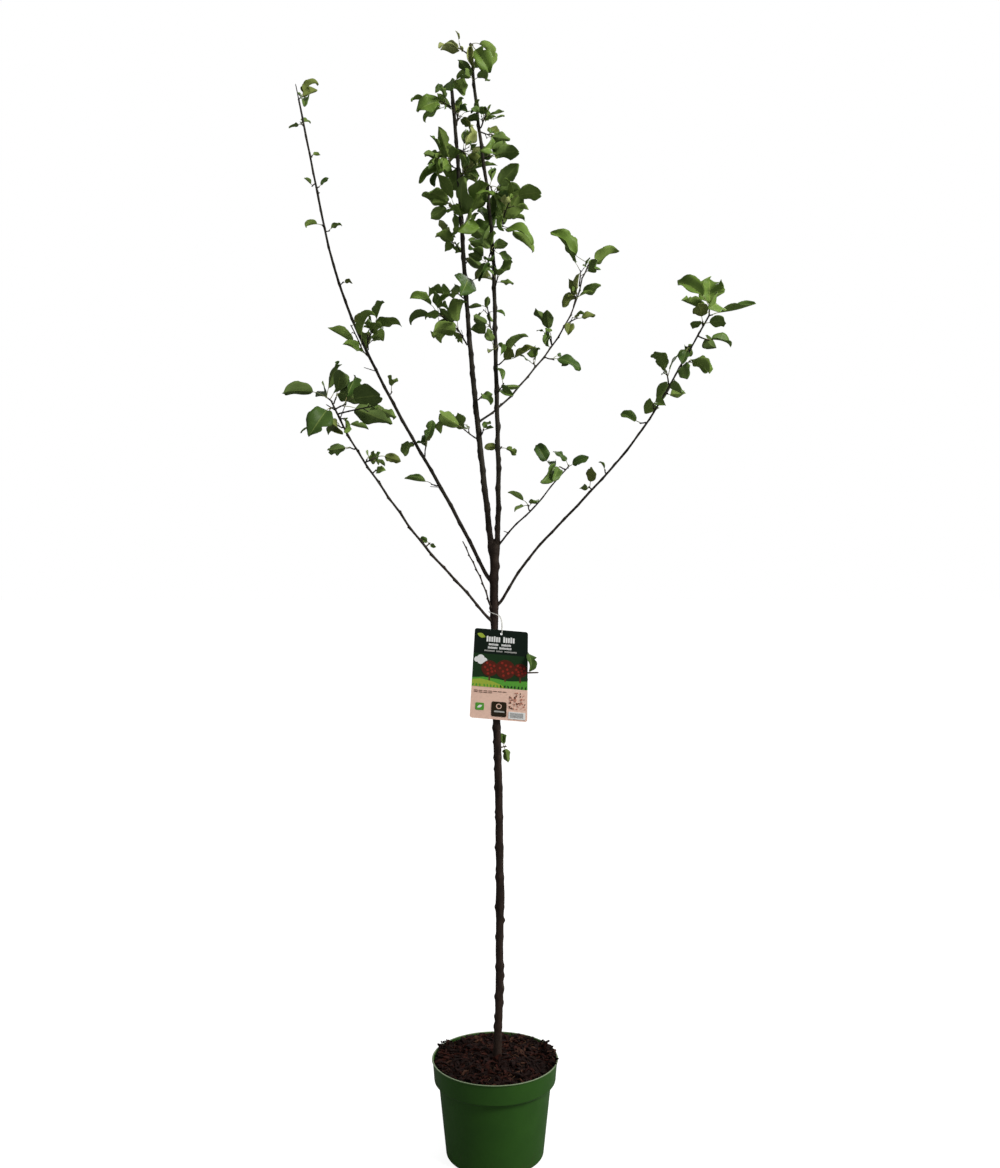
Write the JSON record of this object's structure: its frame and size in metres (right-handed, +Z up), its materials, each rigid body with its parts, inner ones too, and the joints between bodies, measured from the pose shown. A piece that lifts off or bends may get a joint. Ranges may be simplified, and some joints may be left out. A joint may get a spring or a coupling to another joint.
{
  "type": "potted fruit tree sapling",
  "caption": "Slender young fruit tree in a filled nursery pot: a trunk forking into upright leaders, light boughs with sprays of leaves, and a hang tag on a string.",
  "frame": {"origin": "middle of the pot's flat underside", "axes": "+Z up along the pot's axis; the hang tag faces -Y; +X is to the right of someone who looks at the tag"},
  "size_m": [0.7791, 0.4185, 1.8614],
  "materials": {
    "pot_plastic": "satin",
    "soil": "matte",
    "bark": "matte",
    "foliage": "satin",
    "tag_card": "satin",
    "string": "matte"
  },
  "bodies": {
    "root": {"bare_twig": "bark", "bough_high_right": "bark", "bough_long_left": "bark", "bough_low_left": "bark", "bough_right": "bark", "bough_short_right": "bark", "leader_left": "bark", "leader_right": "bark", "leaves_bough_high_right_tip": "foliage", "leaves_bough_long_left_tip": "foliage", "leaves_bough_low_left_tip": "foliage", "leaves_bough_right_tip": "foliage", "leaves_bough_short_right_tip": "foliage", "leaves_high_right_1": "foliage", "leaves_high_right_2": "foliage", "leaves_leader_left_1": "foliage", "leaves_leader_left_10": "foliage", "leaves_leader_left_11": "foliage", "leaves_leader_left_12": "foliage", "leaves_leader_left_16": "foliage", "leaves_leader_left_2": "foliage", "leaves_leader_left_3": "foliage", "leaves_leader_left_4": "foliage", "leaves_leader_left_5": "foliage", "leaves_leader_left_6": "foliage", "leaves_leader_left_7": "foliage", "leaves_leader_left_8": "foliage", "leaves_leader_left_9": "foliage", "leaves_leader_left_tip": "foliage", "leaves_leader_right_1": "foliage", "leaves_leader_right_10": "foliage", "leaves_leader_right_11": "foliage", "leaves_leader_right_16": "foliage", "leaves_leader_right_2": "foliage", "leaves_leader_right_3": "foliage", "leaves_leader_right_4": "foliage", "leaves_leader_right_5": "foliage", "leaves_leader_right_6": "foliage", "leaves_leader_right_7": "foliage", "leaves_leader_right_8": "foliage", "leaves_leader_right_9": "foliage", "leaves_leader_right_tip": "foliage", "leaves_long_left_1": "foliage", "leaves_long_left_2": "foliage", "leaves_long_left_3": "foliage", "leaves_long_left_4": "foliage", "leaves_long_left_5": "foliage", "leaves_long_left_6": "foliage", "leaves_long_left_7": "foliage", "leaves_low_left_1": "foliage", "leaves_right_1": "foliage", "leaves_right_2": "foliage", "leaves_short_right_1": "foliage", "leaves_trunk_1": "foliage", "leaves_trunk_2": "foliage", "pot": "pot_plastic", "root_ball": "soil", "tag": "tag_card", "tag_string": "string", "trunk": "bark"}
  },
  "joints": []
}
